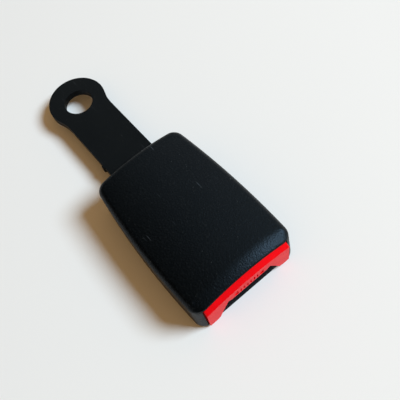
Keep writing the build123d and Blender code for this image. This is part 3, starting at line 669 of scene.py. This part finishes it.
def button_face(edge_radius):
    """The button's face: the sheet made thick, its edges rounded and its grip cells sunk."""
    bm = face_sheet()
    thick = bmesh.ops.extrude_face_region(bm, geom=bm.faces[:])
    for v in thick["geom"]:
        if isinstance(v, bmesh.types.BMVert):
            v.co.y = FACE_BACK_Y
    bmesh.ops.recalc_face_normals(bm, faces=bm.faces)
    sharp = edges_between(bm, FACE_EDGE_ANGLE)
    front = [e for e in sharp if min(v.co.y for v in e.verts) < FACE_BACK_Y - BACK_MARGIN]
    rounded(bm, front, edge_radius, segments=3)
    sunk = bmesh.ops.extrude_discrete_faces(bm, faces=[f for f in bm.faces if is_grip_cell(f)])
    floors = list({v for f in sunk["faces"] for v in f.verts})
    bmesh.ops.translate(bm, verts=floors, vec=(0, GRIP_DEPTH, 0))
    return bm


def button_body():
    """The rest of the button: the CAD node behind the face, closed where it is cut."""
    bm = merged_copy("push_button", flat=0)
    cut = bmesh.ops.bisect_plane(
        bm,
        geom=bm.verts[:] + bm.edges[:] + bm.faces[:],
        dist=WELD,
        plane_co=(0, FACE_BACK_Y, 0),
        plane_no=(0, 1, 0),
        clear_inner=True,
    )
    rim = [e for e in cut["geom_cut"] if isinstance(e, bmesh.types.BMEdge) and e.is_boundary]
    bmesh.ops.triangle_fill(bm, use_beauty=True, use_dissolve=False, edges=rim)
    bmesh.ops.recalc_face_normals(bm, faces=bm.faces)
    bmesh.ops.dissolve_limit(bm, angle_limit=radians(0.5), verts=bm.verts, edges=bm.edges)
    return bm


class BUCKLE_OT_button(bpy.types.Operator):
    """Make the red release button: its face with the arch and the grip ribs, and its body and arms"""

    bl_idname = "buckle.button"
    bl_label = "Release button"

    def execute(self, context):
        add_piece(
            button_face(settings().sizes.button_edge),
            "button_face",
            "red_plastic",
            "button",
            "push_button",
            soft_edge=FINE_EDGE,
            edge_angle=FINE_EDGE_ANGLE,
        )
        add_piece(
            button_body(),
            "button_body",
            "red_plastic",
            "button",
            "push_button",
            soft_edge=BODY_EDGE,
        )
        return {"FINISHED"}


# ---------------------------------------------------------------- stem, frame and mechanism


class BUCKLE_OT_stem(bpy.types.Operator):
    """Make the black painted stem and the rivets that hold it"""

    bl_idname = "buckle.stem"
    bl_label = "Stem and rivets"

    def execute(self, context):
        add_copies([("anchor_plate", 0.25)], "painted_steel", "housing")
        add_copies([("anchor_rivets", 0.12)], "plated_steel", "housing")
        return {"FINISHED"}


class BUCKLE_OT_frame(bpy.types.Operator):
    """Make the inner steel frame, the latch's pin with its clip, and the tongue guide"""

    bl_idname = "buckle.frame"
    bl_label = "Frame and guide"

    def execute(self, context):
        plated = [("buckle_frame", 0.12), ("latch_pivot_pin", 0.12)]
        add_copies(plated, "plated_steel", "housing")
        add_copies([("pivot_pin_clip", 0.08)], "spring_steel", "housing")
        add_copies([("tongue_guide", 0.15)], "dark_plastic", "housing")
        return {"FINISHED"}


class BUCKLE_OT_latch(bpy.types.Operator):
    """Make the latch with its lift pin, and the ejector"""

    bl_idname = "buckle.latch"
    bl_label = "Latch and ejector"

    def execute(self, context):
        add_copies([("latch", 0.12), ("latch_lift_pin", 0.12)], "hardened_steel", "latch")
        add_copies([("ejector", 0.20)], "natural_plastic", "ejector")
        return {"FINISHED"}


# ---------------------------------------------------------------- springs


SPRINGS = (  # node, axis, wire in millimetres, turns, joint that shortens it, by how many millimetres
    ("button_spring_left", "Y", 0.5, 6, "button_slide", 5.0),
    ("button_spring_right", "Y", 0.5, 6, "button_slide", 5.0),
    ("ejector_spring", "Y", 0.45, 8, "ejector_slide", 12.0),
    ("latch_spring", "Z", 0.6, 4, "button_slide", 1.1),
)
COIL_STEPS = 24  # in each turn
WIRE_SIDES = 10
CLOSED_RISE = 1.04  # rise of a closed end turn, as a share of the wire


def coil(radius, length, wire, turns):
    """A wound wire along +Z from 0 to length, its first and last turns closed."""
    bm = bmesh.new()
    upright = Matrix.Translation((radius, 0, wire / 2)) @ Matrix.Rotation(pi / 2, 4, "X")
    ring = bmesh.ops.create_circle(
        bm, cap_ends=False, radius=wire / 2, segments=WIRE_SIDES, matrix=upright
    )
    last = ring["verts"] + bm.edges[:]
    closed = wire * CLOSED_RISE
    pitch = (length - wire - 2 * closed) / (turns - 2)
    for count, rise in ((1, closed), (turns - 2, pitch), (1, closed)):
        turned = bmesh.ops.spin(
            bm,
            geom=last,
            cent=(0, 0, 0),
            axis=(0, 0, 1),
            dvec=(0, 0, rise / COIL_STEPS),
            angle=2 * pi * count,
            steps=count * COIL_STEPS,
            use_merge=False,
            use_normal_flip=False,
            use_duplicate=False,
        )
        last = turned["geom_last"]
    bmesh.ops.holes_fill(bm, edges=[e for e in bm.edges if e.is_boundary], sides=0)
    bmesh.ops.recalc_face_normals(bm, faces=bm.faces)
    return bm


class BUCKLE_OT_springs(bpy.types.Operator):
    """Wind the four springs"""

    bl_idname = "buckle.springs"
    bl_label = "Springs"

    def execute(self, context):
        for node, axis, wire, turns, joint, travel in SPRINGS:
            low, high = (Vector(corner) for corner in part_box(node))
            along = "XYZ".index(axis)
            length = high[along] - low[along]
            start = (low + high) / 2
            seat = start.copy()
            start[along], seat[along] = low[along], high[along]
            direction = Vector((0, 0, 0))
            direction[along] = 1
            radius = (high.x - low.x) / 2 - wire * MM / 2
            bm = coil(radius, length, wire * MM, turns)
            if axis == "Y":
                turn = Matrix.Rotation(-pi / 2, 3, "X")
                bmesh.ops.rotate(bm, verts=bm.verts, cent=(0, 0, 0), matrix=turn)
            bmesh.ops.translate(bm, verts=bm.verts, vec=start)
            name = node + "_coil"
            piece = add_piece(bm, name, "spring_steel", "housing", node, smooth_angle=60)
            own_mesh(piece)
        return {"FINISHED"}


# ---------------------------------------------------------------- studio


TABLE_HALF = 3.0
TABLE_TURN = 31.5  # degrees from +X towards -Y, the way in which painted light makes the table's colour lighter
TABLE_FADE = (-40 * MM, 130 * MM)  # the painted light grows over this stretch
TABLE_PAINTED_LIGHT = 1.11

WINDOW_LEVEL = 4.12
WINDOW_COLOUR = (0.711, 0.867, 1.0)
WINDOW_ANGLE = 24  # how wide the window looks from the part, in degrees
WINDOW_DIRECTION = (0.617, -0.362, 0.699)
ROOM_LEVEL = 0.36
ROOM_COLOUR = (1.0, 0.61, 0.285)
DARK_SIDE = (-0.35, 0.15)  # the reflected room goes from dark to light over these X directions

CAMERA_TURN = -25.665  # degrees about Z from straight ahead of the button
CAMERA_RISE = 61.891  # degrees above the table
CAMERA_ROLL = -15.492  # degrees
CAMERA_TARGET = (9.956 * MM, -67.899 * MM, -4.2 * MM)
CAMERA_DISTANCE = 207.922 * MM
SENSOR_WIDTH = 36.0
NEAREST_SEEN = 0.01


def lay_table():
    """A pale table top under the part, with painted light: its colour a little lighter towards the
    window.
    """
    t = Finish("PaleTable")
    floor = settings().colours.floor
    across = t.add("SeparateXYZ", Vector=t.stretch(turn=TABLE_TURN)).outputs["X"]
    # painted light: the table's colour grows lighter towards the window
    base = t.mix(t.between(across, *TABLE_FADE), floor, shade(floor, TABLE_PAINTED_LIGHT))
    t.set(Base_Color=base, Roughness=0.85, Specular_IOR_Level=0.1)
    bm = bmesh.new()
    bmesh.ops.create_grid(bm, x_segments=1, y_segments=1, size=TABLE_HALF)
    bmesh.ops.translate(bm, verts=bm.verts, vec=(0, 0, cad_box[0][2]))
    add_object(bm, "Table", t.material)


def open_window(scene):
    """Cool light from the front right, as from a window."""
    light = bpy.data.lights.new("Window", "SUN")
    light.energy = WINDOW_LEVEL * settings().studio.key
    light.color = WINDOW_COLOUR
    light.angle = radians(WINDOW_ANGLE)
    lamp = bpy.data.objects.new("Window", light)
    scene.collection.objects.link(lamp)
    lamp.matrix_world = Vector(WINDOW_DIRECTION).to_track_quat("Z", "Y").to_matrix().to_4x4()


def light_room(scene):
    """Warm light from all round, white together with the window's, and a pale backdrop."""
    scene.world = bpy.data.worlds.new("Room")
    t = Tree(scene.world, "Generated")
    ray = t.add("LightPath").outputs
    room = t.add("Background", Color=ROOM_COLOUR, Strength=ROOM_LEVEL * settings().studio.room)

    # reflections find the backdrop darker on its left, and other rays find it even
    side = t.between(t.add("SeparateXYZ", Vector=t.place).outputs["X"], *DARK_SIDE)
    level = t.add("Mix", Factor=ray["Is Glossy Ray"], A=1.0, B=side).outputs["Result"]
    backdrop = t.add("Background", Color=settings().colours.floor, Strength=level)

    sees_backdrop = t.math("MAXIMUM", ray["Is Camera Ray"], ray["Is Glossy Ray"])
    sees_backdrop = t.math("MAXIMUM", sees_backdrop, ray["Is Transmission Ray"])
    choose = t.add("MixShader", Fac=sees_backdrop)
    t.put(choose.inputs[1], room.outputs["Background"])
    t.put(choose.inputs[2], backdrop.outputs["Background"])
    t.add("OutputWorld", Surface=choose.outputs["Shader"])


def set_camera(scene):
    """Look down on the part from ahead of its button, a little from the left and tilted."""
    turn, rise, roll = radians(CAMERA_TURN), radians(CAMERA_RISE), radians(CAMERA_ROLL)
    back = Vector((sin(turn) * cos(rise), -cos(turn) * cos(rise), sin(rise)))
    right = Vector((cos(turn), sin(turn), 0))
    up = back.cross(right)
    right, up = cos(roll) * right + sin(roll) * up, cos(roll) * up - sin(roll) * right
    lens = bpy.data.cameras.new("Camera")
    lens.sensor_fit = "HORIZONTAL"
    lens.sensor_width = SENSOR_WIDTH
    lens.lens = settings().studio.lens
    lens.clip_start = NEAREST_SEEN
    camera = bpy.data.objects.new("Camera", lens)
    scene.collection.objects.link(camera)
    place = Matrix.Translation(Vector(CAMERA_TARGET) + back * CAMERA_DISTANCE)
    camera.matrix_world = place @ Matrix((right, up, back)).transposed().to_4x4()
    scene.camera = camera


class BUCKLE_OT_studio(bpy.types.Operator):
    """Lay the table top, light it softly and set the camera"""

    bl_idname = "buckle.studio"
    bl_label = "Studio"

    def execute(self, context):
        lay_table()
        open_window(context.scene)
        light_room(context.scene)
        set_camera(context.scene)
        context.scene.view_settings.view_transform = "Standard"
        return {"FINISHED"}


# ---------------------------------------------------------------- panel and run


class BUCKLE_PT_sidebar(bpy.types.Panel):
    """Lists the steps that build the buckle"""

    bl_idname = "BUCKLE_PT_sidebar"
    bl_label = "Seat Belt Buckle"
    bl_space_type = "VIEW_3D"
    bl_region_type = "UI"
    bl_category = "Buckle"

    def draw(self, context):
        for step in STEPS:
            self.layout.operator(step.bl_idname)
        for group in (settings().colours, settings().sizes, settings().studio):
            box = self.layout.box()
            for name in group.__annotations__:
                box.prop(group, name)


STEPS = (
    BUCKLE_OT_covers,
    BUCKLE_OT_button,
    BUCKLE_OT_stem,
    BUCKLE_OT_frame,
    BUCKLE_OT_latch,
    BUCKLE_OT_springs,
    BUCKLE_OT_studio,
)
CLASSES = (BuckleColours, BuckleSizes, BuckleStudio, BuckleSettings, *STEPS, BUCKLE_PT_sidebar)


def register():
    for cls in CLASSES:
        bpy.utils.register_class(cls)
    bpy.types.Scene.buckle = PointerProperty(type=BuckleSettings, name="Buckle")


def unregister():
    del bpy.types.Scene.buckle
    for cls in reversed(CLASSES):
        bpy.utils.unregister_class(cls)


def main():
    register()
    for step in STEPS:
        group, name = step.bl_idname.split(".")
        getattr(getattr(bpy.ops, group), name)()


if __name__ == "__main__":
    main()
